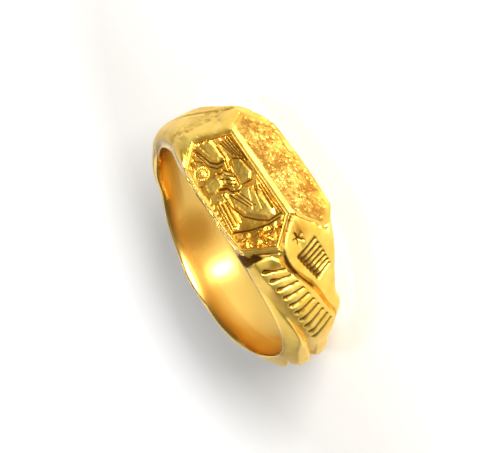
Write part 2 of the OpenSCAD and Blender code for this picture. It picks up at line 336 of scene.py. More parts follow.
def skin_radius(angle, a, share, lobe):
    """Radius of the band's outer skin, kept below the bezel where the bezel covers it."""
    turned = np.radians(angle)
    behind = 0.5 - 0.5 * np.cos(turned)
    swing = np.sqrt(np.clip(1 - np.abs(share) ** SQUARENESS, 0, 1))
    rim = BORE_R + EASE * (1 - LESS_EASED * behind)
    floor_swing, lobe_swing = (swing ** (power + added * behind)
                               for power, added in (FLOOR_POWER, LOBE_POWER))
    radius = (rim + (around(angle, FLOOR) - rim) * floor_swing
              + around(angle, LOBE) * lobe * lobe_swing)
    # Sloping margin beside the mouth of the hole, on the starred shoulder's upper side
    at, *columns = zip(*MARGIN)
    crease, above, below = (np.interp(angle, at, column) for column in columns)
    beside = around(angle, UPPER) - np.maximum(a, crease)
    margin = rim + above * beside + below * np.maximum(crease - a, 0)
    over = radius - margin
    cut_back = 0.5 * (over + np.hypot(over, MARGIN_BLUNT))
    radius = radius - cut_back * ease_in((np.sin(turned) - MARGIN_FROM) / 0.2)
    # Where the end of a plate lies at this height: its distance from the axis and its angle
    down = np.abs(a) / math.cos(ROOF_SLOPE)
    left, right = (np.where(a > 0, reach(down, 0, side), reach(down, 1, side)) for side in (0, 1))
    starred = np.sin(turned) > 0
    end_x = np.where(starred, left + SHIFT, right - SHIFT)
    short_way = np.abs((angle + 180) % 360 - 180)
    crease_way = a - np.interp(short_way, *zip(*CREASE, *CREASE_END))
    flat_lobe = (1 - ease_in(crease_way / 0.25)) * starred
    fall = np.abs(a) * (1 - flat_lobe) + np.maximum(-a, 0.3 - 0.14 * a) * flat_lobe
    level = RIDGE_H - fall * math.tan(ROOF_SLOPE)
    past = (short_way - np.degrees(np.arctan2(end_x, level))) * SKIN_MM
    # Outside, the band comes up to the plates
    step = np.hypot(end_x, level) - np.interp(a, (-0.5, 0.8), (0.05, 0.2)) - radius
    blend = np.where(starred, RISE_RUN + RISE_STAR * flat_lobe,
                     np.interp(a, (-2, 1.5), (RISE_FAR, RISE_RUN)))
    step = step * np.clip(1 - past / blend, 0, 1) ** RISE_POWER * ease_in((1 - np.abs(share)) * 6)
    # Under the plates, it sinks out of their way
    sunk = np.interp(past, (-0.4, -0.1, 0), (0.5, 0.1, 0.05))
    below = level / np.clip(np.cos(turned), 0.3, 1) - sunk
    below = np.maximum(BORE_R + 0.08, below)
    return np.where(past < 0, np.minimum(radius, below), radius + step)


def add_grid(name, across, along, points, layers):
    """A grid primitive bent to the given points, in mm of the upright ring."""
    bpy.ops.object.select_all(action="DESELECT")
    bpy.ops.mesh.primitive_grid_add(x_subdivisions=along, y_subdivisions=across, size=1)
    piece = bpy.context.object
    piece.name = name
    piece.data.name = name
    piece.data.vertices.foreach_set("co", laid(points).astype(np.float32).ravel())
    for layer, values in layers.items():
        piece.data.attributes.new(layer, "FLOAT", "POINT").data.foreach_set(
            "value", np.asarray(values, np.float32).ravel())
    return piece


# Points closer than this are one, in metres
MERGE_GAP = 1e-7


def close_up():
    """Merge the seams of the piece just made, turn its faces outwards and smooth its shading."""
    bpy.ops.object.mode_set(mode="EDIT")
    bpy.ops.mesh.select_all(action="SELECT")
    bpy.ops.mesh.remove_doubles(threshold=MERGE_GAP)
    bpy.ops.mesh.normals_make_consistent(inside=False)
    bpy.ops.object.mode_set(mode="OBJECT")
    bpy.ops.object.shade_smooth()


# Columns of the grid in each lobe, dense where the starred shoulder faces the light, and how the
# first lobe's are spread out under the bezel: share of the columns, share of the way
COLUMNS = (200, 165, 42, 42, 42, 42, 77)
FIRST_SPREAD = ((0, 0.28, 0.36, 1), (0, 0.35, 0.62, 1))
# Rows across the skin, round each eased mouth and through the hole
ROWS = 134
MOUTH_ROWS = 6
HOLE_ROWS = 12
lobe_of, part_of = [], []
for k, count in enumerate(COLUMNS):
    t = np.arange(count) / count
    if k == 0:
        t = np.interp(t, *FIRST_SPREAD)
    lobe_of += [k] * count
    part_of += list(t)
lobe_of, part_of = np.array(lobe_of + [0]), np.array(part_of + [0.0])
whole_turn = np.array([0.0] * (len(lobe_of) - 1) + [360.0])

# Shares of the half-width, closer together towards the edges
even = np.linspace(1, -1, ROWS + 1)
share = 0.6 * even + 0.4 * np.sin(even * math.pi / 2)
angle = np.empty((len(share), len(lobe_of)))
lobe = np.empty_like(angle)
for i in range(len(lobe_of)):
    k = lobe_of[i]
    angle[:, i] = (groove_angle(k, share) * (1 - part_of[i])
                   + groove_angle(k + 1, share) * part_of[i])
    lobe[:, i] = lobe_form(k, angle[:, i], share)
angle += whole_turn
bulge = BULGE[2] * np.exp(-((angle - BULGE[0]) / BULGE[1]) ** 2)
wide = np.where(share[:, None] > 0, around(angle, UPPER), around(angle, LOWER) + bulge)
a = share[:, None] * wide
radius = skin_radius(angle, a, share[:, None], lobe)
round_trip = (angle + 180) % 360 - 180
turned = np.radians(angle)
skin = np.stack([-radius * np.sin(turned), -radius * np.cos(turned), a], -1)
# The far shoulder's strokes are all but worn away, down to this share, and end in a rough patch:
# its ends, length of a degree there, reach and soft edge in mm, depth, and grime
FAINT = 0.15
ROUGH = [(-37.5, 2.6), (-37, -1.1)]
ROUGH_MM = 0.19
ROUGH_REACH, ROUGH_SOFT = 1.3, 0.6
ROUGH_DEEP, ROUGH_GRIME = 0.17, 0.22
off_patch = from_line(round_trip * ROUGH_MM, a, [(p[0] * ROUGH_MM, p[1]) for p in ROUGH])[0]
rough = (ease_in((ROUGH_REACH - off_patch) / ROUGH_SOFT)
         * np.clip(0.2 + mottles(skin, (1, 0.36, 14), (0.5, 0.18, 15)), 0, 1))
strokes = np.maximum(shoulder_cuts(round_trip, a, True),
                     FAINT * shoulder_cuts(-round_trip, -a, False))
# No cut goes in where the metal is thin
thick = ease_in((radius - BORE_R - 0.1) / 0.8)
cuts = np.maximum(strokes, ROUGH_DEEP * rough) * thick
# The skin is worn a little uneven, but not at its edges
wear = mottles(skin, (0.02, 1.6, 3), (0.009, 0.5, 4))
wear *= swell((1 - np.abs(share[:, None])) * 6)
radius = radius - cuts + wear
skin = np.stack([-radius * np.sin(turned), -radius * np.cos(turned), a], -1)


def mouth_end(row):
    """Height at which an eased mouth meets the straight wall of the hole."""
    return a[row] - np.sign(a[row]) * np.minimum(MOUTH_DEEP, MOUTH_SHARE * np.abs(a[row]))


def mouth(row):
    """Eased corner from the skin's edge into the finger hole."""
    rows = []
    for i in range(1, MOUTH_ROWS + 1):
        q = math.pi / 2 * i / MOUTH_ROWS
        r = BORE_R + (radius[row] - BORE_R) * (1 - math.sin(q))
        edge = a[row] + (mouth_end(row) - a[row]) * (1 - math.cos(q))
        rows.append(np.stack([-r * np.sin(turned[row]), -r * np.cos(turned[row]), edge], -1))
    return rows


# The hole's rows slant from mouth to mouth with the columns, so each of their points takes its
# height from the mouths at its own angle
hole = []
for i in range(1, HOLE_ROWS):
    t = i / HOLE_ROWS
    way = angle[-1] * (1 - t) + angle[0] * t
    lower, upper = (np.interp(way, angle[row][:-1], mouth_end(row)[:-1], period=360)
                    for row in (-1, 0))
    way = np.radians(way)
    hole.append(np.stack([-BORE_R * np.sin(way), -BORE_R * np.cos(way),
                          lower * (1 - t) + upper * t], -1))
shells = list(skin) + mouth(-1) + hole + mouth(0)[::-1] + [skin[0]]
points = np.array(shells)
# Layers that the gold reads: dirt in the cuts, orange film in the grooves, painted shade in the
# film and dirt tones round the upper mouth at the back, and polish, which is full in the hole and
# gone on the skin
depth = np.zeros(points.shape[:2])
depth[:len(skin)] = np.maximum(np.clip(strokes * thick / 0.07 - 0.3, 0, 1),
                               ROUGH_GRIME * rough * thick)
patina_and_shade = np.zeros_like(depth)
patina_and_shade[:len(skin)] = 0.05 * (1 - lobe) * swell((1 - np.abs(share[:, None])) * 6)
# Round the upper mouth at the back, painted shade darkens the rim's edge with film and dirt tones
behind = np.clip(0.3 - np.cos(turned[0]), 0, 1)
for i in range(MOUTH_ROWS + 2):
    patina_and_shade[-2 - i] = 0.5 * behind * (1 - abs(i - 2) / (MOUTH_ROWS + 2))
    depth[-2 - i] = 0.3 * patina_and_shade[-2 - i]
# Spots of painted shade, darkened with the film and dirt tones: place on the upright ring, reach
# and softness in mm, film share, dirt share
SHADE_SPOTS = [((5.2, 7.4, 0.8), 2.9, 2.4, 0.9, 0.3), ((-4.85, -10.8, -0.4), 1.4, 1, 1, 0.22),
           ((-8.2, -7.3, 3.2), 1.3, 1.1, 0.7, 0.35)]
for spot, reach_out, soft, film_and_shade, painted_shade in SHADE_SPOTS:
    near = ease_in((reach_out - np.linalg.norm(points - spot, axis=-1)) / soft)
    patina_and_shade = np.maximum(patina_and_shade, film_and_shade * near)
    depth = np.maximum(depth, painted_shade * near)
polish = np.ones_like(depth)
polish[:len(skin)] = 1 - swell((1 - np.abs(share[:, None])) * 10)
band = add_grid("band", len(shells) - 1, len(lobe_of) - 1, points,
                {"cut": depth, "patina_and_shade": patina_and_shade, "polish": polish})
close_up()
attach(band, "root")
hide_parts("ring")


def linear(code):
    """Colour of an sRGB hex code in linear light."""
    parts = [int(code[i:i + 2], 16) / 255 for i in (1, 3, 5)]
    return [c / 12.92 if c <= 0.04045 else ((c + 0.055) / 1.055) ** 2.4 for c in parts] + [1]


def add_node(material, kind, settings=(), links=()):
    """Add a node; settings are socket or property values, links are (input, output socket)."""
    tree = material.node_tree
    node = tree.nodes.new(kind)
    for key, value in dict(settings).items():
        if isinstance(key, str) and hasattr(node, key) and key not in node.inputs:
            setattr(node, key, value)
        else:
            node.inputs[key].default_value = value
    for key, output in dict(links).items():
        tree.links.new(output, node.inputs[key])
    return node


def ramp(node, stops):
    """Set the stops of a colour ramp: place and hex colour."""
    elements = node.color_ramp.elements
    while len(elements) < len(stops):
        elements.new(1)
    for element, (place, colour) in zip(elements, stops):
        element.position = place
        element.color = linear(colour)


# Size of a patch of tarnish in mm, and tone and roughness of the polished hole and of dirt in a
# cut, whose tone also paints shade
PATCH = 1.25
POLISHED_TONE, DIRT_AND_SHADE_TONE = "#F4CC6C", "#5C3C10"
POLISHED_ROUGH, DIRT_ROUGH = 0.2, 0.6


def cast_gold(name, tones, film_and_shade_code, rough, grain_mm):
    """Worn high-carat gold: metal with an orange film in the hollows and dull dirt in the cuts; the
    film and dirt tones also serve as painted shade.
    """
    gold = bpy.data.materials.new(name)
    gold.use_nodes = True
    gold.node_tree.nodes.clear()
    place = add_node(gold, "ShaderNodeTexCoord").outputs["Object"]
    dirt_and_shade_mask, film_and_shade, polished = (
        add_node(gold, "ShaderNodeAttribute", {"attribute_name": layer}).outputs["Fac"]
        for layer in ("cut", "patina_and_shade", "polish"))
    patches = add_node(gold, "ShaderNodeTexNoise", {"Scale": 1000 / PATCH, "Detail": 4.0},
                       {"Vector": place})
    tone = add_node(gold, "ShaderNodeValToRGB", (), {"Fac": patches.outputs["Fac"]})
    ramp(tone, [(0.35, tones[0]), (0.7, tones[1])])
    # Inputs 6 and 7 of a mix are its two colours, 2 and 3 its two numbers
    inner_tone = add_node(gold, "ShaderNodeMix", {"data_type": "RGBA", 7: linear(POLISHED_TONE)},
                          {0: polished, 6: tone.outputs["Color"]})
    film_and_shade_tone = add_node(gold, "ShaderNodeMix", {"data_type": "RGBA", 7: linear(film_and_shade_code)},
                         {0: film_and_shade, 6: inner_tone.outputs[2]})
    dirt_and_shade_tone = add_node(gold, "ShaderNodeMix", {"data_type": "RGBA", 7: linear(DIRT_AND_SHADE_TONE)},
                         {0: dirt_and_shade_mask, 6: film_and_shade_tone.outputs[2]})
    uneven = add_node(gold, "ShaderNodeMapRange", {"From Min": 0.3, "From Max": 0.75,
                                                   "To Min": rough[0], "To Max": rough[1]},
                      {"Value": patches.outputs["Fac"]})
    # The finger polishes the metal, and dirt dulls it
    rough_inner = add_node(gold, "ShaderNodeMix", {3: POLISHED_ROUGH},
                           {0: polished, 2: uneven.outputs["Result"]})
    rough_dirt = add_node(gold, "ShaderNodeMix", {3: DIRT_ROUGH},
                          {0: dirt_and_shade_mask, 2: rough_inner.outputs[0]})
    # Fine scratches and the grain of the casting, an eighth as deep as wide, and drawn a little
    # coarser than they are, so that they show
    grain = add_node(gold, "ShaderNodeTexNoise", {"Scale": 0.7 * 1000 / grain_mm, "Detail": 3.0},
                     {"Vector": place})
    pitting = add_node(gold, "ShaderNodeBump", {"Strength": 0.25, "Distance": grain_mm / 8000},
                       {"Height": grain.outputs["Fac"]})
    surface = add_node(gold, "ShaderNodeBsdfPrincipled", {"Metallic": 1.0},
                       {"Base Color": dirt_and_shade_tone.outputs[2], "Roughness": rough_dirt.outputs[0],
                        "Normal": pitting.outputs["Normal"]})
    add_node(gold, "ShaderNodeOutputMaterial", (), {"Surface": surface.outputs["BSDF"]})
    return gold


# Cast and chased gold, softly glossy on the lobes and mirror smooth where the finger polished it
worn_gold = cast_gold("worn_cast_gold", ("#EABF4D", "#F7D66F"), "#CF9434", (0.36, 0.5), 0.08)
band.data.materials.append(worn_gold)

# Bezel. Two long six-sided plates of the same gold, soldered together along a ridge and to the
# band. Each has a raised rim round a sunk field.
# Distance of the plates' flat backs from the hole's axis in mm, and their grids' columns and rows
SEAT = 9.1
GRID = (400, 170)
PANEL_EDGE = PANEL_W + BOW / math.cos(ROOF_SLOPE)


def plate_points(x, y, out, panel):
    """Points of a plate, given along the ridge, down its slope and out from its plane."""
    side = (1, -1)[panel]
    c, s = math.cos(ROOF_SLOPE), math.sin(ROOF_SLOPE)
    return np.stack([x - SHIFT, -RIDGE_H + y * s - out * c, side * (y * c + out * s)], -1)


def plate_outline(panel, ridge_y=0):
    """Corners of a plate, with its bowed long edge."""
    half = RIDGE_L / 2
    left, right = TIPS[panel]
    bowed = [(x * half / 4, PANEL_W + (PANEL_EDGE - PANEL_W) * (1 - (x / 4) ** 2))
             for x in range(-4, 5)]
    return ([(-half, ridge_y), (-half - left[0], left[1])] + bowed
            + [(half + right[0], right[1]), (half, ridge_y)])


def plate_grid(panel):
    """Even grid over a plate, and the ways from its rim and from its outer edges."""
    along, down = np.meshgrid(np.linspace(-1, 1, GRID[0] + 1), np.linspace(0, 1, GRID[1] + 1))
    y = down * (PANEL_W + (PANEL_EDGE - PANEL_W) * (1 - along ** 2))
    left, right = (reach(down * PANEL_W, panel, side) for side in (0, 1))
    x = along * np.where(along < 0, left, right)
    return x, y, inside(x, y, plate_outline(panel)), inside(x, y, plate_outline(panel, -1))


def solid_plate(name, points, layers, material):
    """Build a plate from its relief: a bent grid with walls down to a flat seat in the band."""
    piece = add_grid(name, GRID[1], GRID[0], points, layers)
    bpy.ops.object.mode_set(mode="EDIT")
    bpy.ops.mesh.select_mode(type="EDGE")
    bpy.ops.mesh.select_all(action="DESELECT")
    bpy.ops.mesh.select_non_manifold()
    bpy.ops.mesh.extrude_region_move()
    bpy.ops.object.mode_set(mode="OBJECT")
    chosen = np.zeros(len(piece.data.vertices), bool)
    piece.data.vertices.foreach_get("select", chosen)
    co = np.zeros(len(piece.data.vertices) * 3, np.float32)
    piece.data.vertices.foreach_get("co", co)
    co = co.reshape(-1, 3)
    x, y, z = np.moveaxis(co[chosen] * 1000 - hole_centre, -1, 0)
    upright_z = z * math.cos(lean) + y * math.sin(lean)
    co[chosen] = laid(np.stack([x, np.full_like(x, -SEAT), upright_z], -1))
    piece.data.vertices.foreach_set("co", co.ravel())
    bpy.ops.object.mode_set(mode="EDIT")
    bpy.ops.mesh.edge_face_add()
    bpy.ops.mesh.select_all(action="SELECT")
    bpy.ops.mesh.normals_make_consistent(inside=False)
    bpy.ops.object.mode_set(mode="OBJECT")
    bpy.ops.object.shade_smooth_by_angle(angle=math.radians(60))
    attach(piece, "root")
    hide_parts("ring")
    piece.data.materials.append(material)


# Upper plate. One of the bezel's gold plates, soldered on along the ridge. Its field is sunk and
# engraved with a robed, haloed figure lying along the ridge, pleated rays in one corner, smooth
# hills behind, and leafy ground at the feet.
x, y, rim_way, edge_way = plate_grid(0)
# Gold in darker ochre tones rather than lemon yellow: painted shade over the whole plate
engraved_gold = cast_gold("engraved_gold", ("#C9A040", "#E2BC58"), "#C88C26", (0.36, 0.48), 0.08)
# Raised forms: height, width of the rounded edge, and corners, as mm along the ridge from its
# middle and mm down the slope
FORMS = [
    (0.1, 0.3, [(4.95, 2.6), (4.6, 1.8), (3.6, 1.7), (2.8, 1.8), (2.75, 2.4), (3.5, 2.8),
                (4.6, 3.1)]),
    (0.1, 0.16, [(2.3, 1.35), (1.85, 0.75), (0.5, 0.6), (0.08, 1.0), (0.28, 1.9), (1.3, 1.85)]),
    (0.08, 0.12, [(0.0, 0.68), (-1.3, 0.72), (-0.85, 1.1)]),
    (0.1, 0.3, [(2.2, 3.5), (2.1, 3.05), (1.6, 2.85), (0.95, 3.0), (0.8, 4.0), (1.3, 4.45),
                (2.1, 4.3)]),
    (0.14, 0.3, [(1.9, 2.95), (1.95, 2.3), (1.2, 1.95), (0.6, 2.1), (0.4, 2.5), (0.9, 2.95)]),
    (0.1, 0.3, [(0.6, 3.1), (0.65, 4.1), (-0.4, 4.5), (-2.2, 4.6), (-2.5, 4.0), (-1.8, 3.5)]),
    (0.14, 0.35, [(0.6, 2.9), (0.15, 1.95), (-0.3, 1.35), (-1.3, 0.9), (-2.9, 0.75), (-3.4, 1.0),
                  (-3.25, 1.7), (-2.7, 2.3), (-1.9, 2.95), (-0.8, 3.3)])]
# Rows of cut lines: count, width, depth (below 0 for a raised fold), first line, last line
CUT_ROWS = [
    (5, 0.1, 0.15, ((4.5, 1.6), (2.55, 1.12)), ((4.1, 0.55), (1.5, 0.45))),
    (4, 0.07, 0.12, ((2.05, 2.45), (1.4, 1.95)), ((0.95, 2.75), (0.5, 2.25))),
    (3, 0.06, 0.12, ((2.1, 3.0), (1.8, 2.6)), ((1.1, 3.15), (0.95, 2.85))),
    (3, 0.15, -0.12, ((0.15, 4.05), (-2.15, 4.3)), ((-0.1, 3.4), (-2.0, 3.62))),
    (3, 0.07, 0.13, ((0.05, 4.28), (-2.2, 4.5)), ((-0.1, 3.62), (-1.95, 3.85))),
    (3, 0.08, 0.13, ((0.2, 3.1), (-1.5, 2.4)), ((0.25, 2.5), (-1.75, 1.85))),
    (3, 0.08, 0.13, ((-0.46, 1.49), (-1.9, 2.1)), ((-0.65, 0.8), (-2.75, 0.9))),
    (7, 0.06, 0.1, ((0.8, 4.45), (0.4, 4.8)), ((-2.5, 4.75), (-2.8, 5.0))),
    (4, 0.07, 0.12, ((4.1, 3.9), (3.55, 3.45)), ((2.3, 4.75), (2.05, 4.5))),
    (3, 0.065, 0.12, ((4.75, 3.5), (3.9, 3.35)), ((4.4, 4.1), (3.6, 4.35)))]
# Single lines: width, depth (below 0 for a raised one), points
LINES = [
    (0.1, 0.18, ((4.7, 3.4), (3.95, 3.15), (3.15, 2.95), (2.7, 2.55), (2.55, 2.0))),
    (0.07, 0.14, ((4.3, 3.5), (3.7, 3.3), (3.0, 3.2), (2.45, 2.8), (2.3, 2.3))),
    (0.1, 0.18, ((1.0, 3.55), (0.7, 3.0), (0.2, 2.75), (-0.1, 2.2), (0.05, 1.85))),
    (0.09, -0.1, ((0.9, 3.7), (0.5, 3.15), (0.05, 2.9), (-0.25, 2.3))),
    (0.08, 0.15, ((0.5, 3.5), (-0.8, 3.45), (-1.85, 3.15), (-2.75, 2.4), (-3.35, 1.7),
                  (-3.5, 0.6))),
    (0.1, -0.11, ((3.85, 1.62), (2.6, 1.62), (2.35, 1.74), (1.0, 1.99))),
    (0.06, 0.12, ((3.8, 1.8), (2.7, 1.76), (2.4, 1.9), (1.6, 2.1))),
    (0.07, 0.14, ((2.35, 1.5), (1.7, 1.95), (0.9, 1.9), (0.3, 2.0))),
    (0.07, 0.13, ((2.3, 1.4), (1.85, 0.72), (0.5, 0.55), (0.0, 1.0), (0.2, 1.9))),
    (0.07, 0.12, ((-0.7, 0.6), (-2.1, 0.65), (-3.3, 0.6))),
    (0.06, -0.08, ((0.0, 0.5), (-1.5, 0.5), (-3.2, 0.45))),
    (0.09, 0.16, ((-2.3, 4.5), (-2.65, 4.0), (-3.05, 3.3), (-3.3, 2.65), (-3.58, 1.85),
                  (-3.7, 0.9))),
    (0.08, -0.09, ((-2.45, 4.6), (-2.82, 4.0), (-3.2, 3.3), (-3.47, 2.65), (-3.75, 1.85),
                   (-3.85, 0.9)))]
# Rings of small pearls: centre and radius, then the height and half-width of their raised line
PEARLS = [(4.81, 2.53, 0.16), (4.56, 2.1, 0.16), (4.9, 3.0, 0.12)]
PEARL_HIGH, PEARL_WIDE = 0.08, 0.07
# Head, an egg: centre, half-length and half-width, height of its edge and what its crown adds
HEAD = (2.85, 3.9)
HEAD_SIZE = (0.36, 0.27)
HEAD_EDGE, HEAD_CROWN = 0.06, 0.09
# Halo: radius and height of its disc, depth and half-width of the cut round it, and its rays:
# degrees between them, depth, and the radii where they begin and end
HALO_R, HALO_HIGH = 0.6, 0.04
HALO_CUT_DEEP, HALO_CUT_WIDE = 0.05, 0.05
RAY_STEP, RAY_DEEP = 20, 0.04
RAY_FROM, RAY_TO = 0.42, 0.55
# Face, plain and even: ends, half-width and depth of an eye and of half the mouth, which the
# other side mirrors, and of the raised nose; then the hair's waves: place, height, and radians for
# each mm
EYE = (((0.03, 0.07), (0.03, 0.16)), 0.035, 0.045)
LIPS = (((-0.185, -0.01), (-0.185, 0.07)), 0.03, 0.035)
NOSE = (((-0.09, 0), (0.06, 0)), 0.045, 0.04)
HAIR_FROM, HAIR_HIGH, HAIR_WAVES = 0.2, 0.04, 60


def line_depth(x, y, wide, deep, points):
    """Depth of a V cut that follows several points."""
    cuts = [graver_cut(x, y, ends, wide, abs(deep)) for ends in zip(points, points[1:])]
    return np.max(cuts, axis=0)


def figure_relief(x, y):
    """Engraving of the upper field, as heights and as depths below the field."""
    high, low = np.zeros_like(x), np.zeros_like(x)
    for height, soft, corners in FORMS:
        high = np.maximum(high, height * ease_in(inside(x, y, corners) / soft))
    folds = np.zeros_like(x)
    for count, wide, deep, first, last in CUT_ROWS:
        for i in range(count):
            t = i / (count - 1)
            ends = [tuple(p + (q - p) * t for p, q in zip(*pair)) for pair in zip(first, last)]
            depth = graver_cut(x, y, ends, wide, abs(deep))
            low = np.maximum(low, depth * (deep > 0))
            folds = np.maximum(folds, depth * (deep < 0))
    for wide, deep, points in LINES:
        depth = line_depth(x, y, wide, deep, points)
        low = np.maximum(low, depth * (deep > 0))
        folds = np.maximum(folds, depth * (deep < 0))
    for px, py, size in PEARLS:
        off_ring = np.abs(np.hypot(x - px, y - py) - size)
        folds = np.maximum(folds, PEARL_HIGH * np.clip(1 - off_ring / PEARL_WIDE, 0, 1))
    # Halo: a low disc in a cut ring, with short cut rays
    u, v = x - HEAD[0], y - HEAD[1]
    off = np.hypot(u, v)
    disc = HALO_HIGH * ease_in((HALO_R - off) / 0.06)
    ring = HALO_CUT_DEEP * np.clip(1 - np.abs(off - HALO_R) / HALO_CUT_WIDE, 0, 1)
    low = np.maximum(low * (off > HALO_R), ring)
    off_ray = np.abs(np.degrees(np.arctan2(v, u)) % RAY_STEP - RAY_STEP / 2)
    rays = RAY_DEEP * np.clip(1 - off_ray * off / 2.4, 0, 1) * (off > RAY_FROM) * (off < RAY_TO)
    # Head: an egg with eyes, nose, mouth and waved hair
    egg = 1 - (u / HEAD_SIZE[0]) ** 2 - (v / HEAD_SIZE[1]) ** 2
    head = HEAD_EDGE + HEAD_CROWN * np.sqrt(np.clip(egg, 0, 1))
    features = np.maximum(graver_cut(u, np.abs(v), *EYE), graver_cut(u, np.abs(v), *LIPS))
    hair = HAIR_HIGH * (u > HAIR_FROM) * (0.5 + 0.5 * np.cos(v * HAIR_WAVES))
    head = np.where(egg > 0, head - features + graver_cut(u, v, *NOSE) + hair, 0)
    high = np.where(off < HALO_R, np.maximum(disc - rays, head), high)
    high = np.where(egg > 0, head, high)
    return high + folds * (off > HALO_R), np.where(egg > 0, 0, low)


# Ground at the feet: its corners, and tufts of leaves: root and bearing in degrees
GROUND = [(-2.35, 4.9), (-2.75, 4.0), (-3.15, 3.3), (-3.4, 2.65), (-3.65, 1.85), (-3.7, 0.5),
          (-4.6, 0.3), (-6.2, 2.6), (-4.2, 5.1)]
TUFTS = [(-3.7, 2.9, -150), (-3.3, 3.9, 150), (-4.0, 1.5, -170), (-4.6, 2.7, 140)]
# Leaves of a tuft, raised and cut in turn: number, degrees between them, curl of the outermost in
# radians for each mm, distances of their points from the root, half-width, and the height of a
# raised one and of a cut one
LEAVES, LEAF_SPREAD, LEAF_CURL = 5, 24, 0.5
LEAF_STEPS = (0.15, 0.45, 0.8, 1.1)
LEAF_WIDE, LEAF_HIGHS = 0.12, (0.12, -0.13)


def leafy_ground(x, y, points):
    """Curled leaves on the ground: curved strokes that fan out, over small lumps."""
    part = ease_in(inside(x, y, GROUND) / 0.12)
    leaves = 0.14 * np.abs(mottle(points, 0.45, 11)) + 0.03 * mottle(points, 0.22, 12) - 0.07
    middle = LEAVES // 2
    for root_x, root_y, way in TUFTS:
        for i in range(LEAVES):
            spread = math.radians(way + LEAF_SPREAD * (i - middle))
            bearings = [spread + LEAF_CURL * step * (i - middle) / middle for step in LEAF_STEPS]
            route = [(root_x + step * math.cos(bearing), root_y + step * math.sin(bearing))
                     for step, bearing in zip(LEAF_STEPS, bearings)]
            leaves = leaves + LEAF_HIGHS[i % 2] * line_depth(x, y, LEAF_WIDE, 1, route)
    return part, leaves


# Width of the rim, depth of the sunk field, half-width and depth of the line cut round inside the
# rim, and the place, half-width and depth of the finer line along the rim's crest
RIM = 0.34
FIELD_DEEP = 0.22
BORDER_WIDE, BORDER_DEEP = 0.08, 0.14
CREST_AT, CREST_WIDE, CREST_DEEP = 0.17, 0.05, 0.06
# Bevel that wear has left on the long edge: width and slope
BEVEL_WIDE, BEVEL_SLOPE = 0.38, 0.49
flat = plate_points(x, y, 0, 0)
high, low = figure_relief(x, y)
part, leaves = leafy_ground(x, y, flat)
within = ease_in((rim_way - RIM) / BORDER_WIDE)
bare = np.clip(1 - high / 0.08, 0, 1) * (1 - part)
tooled = mottles(flat, (0.012, 0.4, 5), (0.007, 0.15, 6))
field = -FIELD_DEEP + (high - low) * (1 - part) + leaves * part + tooled
crest = np.clip(1 - np.abs(rim_way - CREST_AT) / CREST_WIDE, 0, 1) * CREST_DEEP
border = (np.clip(1 - np.abs(rim_way - RIM) / BORDER_WIDE, 0, 1) * BORDER_DEEP
          + crest * (edge_way > 0.12))
# The bevel catches the light from above
along = x / (RIDGE_L / 2 + TIPS[0][0][0])
long_way = PANEL_W + (PANEL_EDGE - PANEL_W) * (1 - along ** 2) - y
bevel = (BEVEL_SLOPE * np.clip(BEVEL_WIDE - long_way, 0, BEVEL_WIDE)
         + 0.04 * (1 - swell(edge_way / 0.1)))
relief = field * within - border - bevel
# Dirt lies in the cuts, film on the bare field and on the ground, and the bevel is polished
cut = np.clip((low - 0.02) / 0.06, 0, 1) * (1 - part) * within
cut = np.maximum(cut, np.clip(border / BORDER_DEEP, 0, 1))
cut = np.maximum(cut, np.clip(-leaves / 0.08 - 0.3, 0, 1) * part * within)
patina_and_shade = within * np.maximum(bare * (0.55 + 0.5 * mottle(flat, 0.5, 13)), part * 0.6)
polish = np.clip((0.42 - long_way) / 0.08, 0, 1)
solid_plate("upper_plate", plate_points(x, y, relief, 0),
            {"cut": 0.85 * cut, "patina_and_shade": patina_and_shade, "polish": polish}, engraved_gold)

# Lower plate. The same kind of gold plate, soldered on in the same way, but so long worn that only
# a pitted, lumpy field is left, with what remains of its rim along the far edge and a lip at one
# corner.
x, y, rim_way, edge_way = plate_grid(1)
# Gold worn to a sandy, matt skin, with brown grime between the grains
sandy_gold = cast_gold("sandy_gold", ("#CBA348", "#EDCD6C"), "#9A6E26", (0.42, 0.56), 0.12)
# Pits: number, middle and spread of their places, and their least and greatest radius and depth
PITS = 150
PIT_MIDDLE, PIT_SPREAD = (-0.4, 2.4), (2.4, 1.0)
PIT_SIZE, PIT_DEEP = (0.05, 0.13), (0.05, 0.14)
# Lip at the corner: ends, half-width, height
LIP, LIP_WIDE, LIP_HIGH = ((-5.7, 3.0), (-4.4, 4.8)), 0.28, 0.3
# Strip along the ridge that stays level with it: width, and where it has died away
STRIP_WIDE, STRIP_END = 0.32, 0.55
# How far the field has sunk, and how deep and wide its outer edge is worn down
SUNK = 0.1
EDGE_DEEP, EDGE_WIDE = 0.12, 0.18
flat = plate_points(x, y, 0, 1)
within = ease_in((rim_way - 0.25) / 0.3)
pits = np.zeros_like(x)
chance = np.random.default_rng(21)
for i in range(PITS):
    at_x, at_y = (chance.normal(middle, spread) for middle, spread in zip(PIT_MIDDLE, PIT_SPREAD))
    size, deep = chance.uniform(*PIT_SIZE), chance.uniform(*PIT_DEEP)
    pits = np.maximum(pits, deep * swell(1 - np.hypot(x - at_x, (y - at_y) * 1.2) / size))
coarse = mottle(flat, 0.8, 7)
fine = mottles(flat, (0.5, 0.33, 8), (0.35, 0.17, 9), (0.15, 0.09, 10))
lumps = 0.06 * coarse + 0.16 * fine
lip = LIP_HIGH * np.clip(1 - from_line(x, y, LIP)[0] / LIP_WIDE, 0, 1)
worn_edge = EDGE_DEEP * (1 - swell(edge_way / EDGE_WIDE))
strip = np.minimum(y, STRIP_WIDE) * math.tan(ROOF_SLOPE) * ease_in((STRIP_END - y) / 0.2)
relief = -worn_edge - SUNK * within + lumps * within - pits * within + lip + strip
cut = np.clip(pits / 0.12, 0, 1) * within
patina_and_shade = np.clip(0.6 - 2.2 * fine - 0.8 * coarse, 0, 1) * within
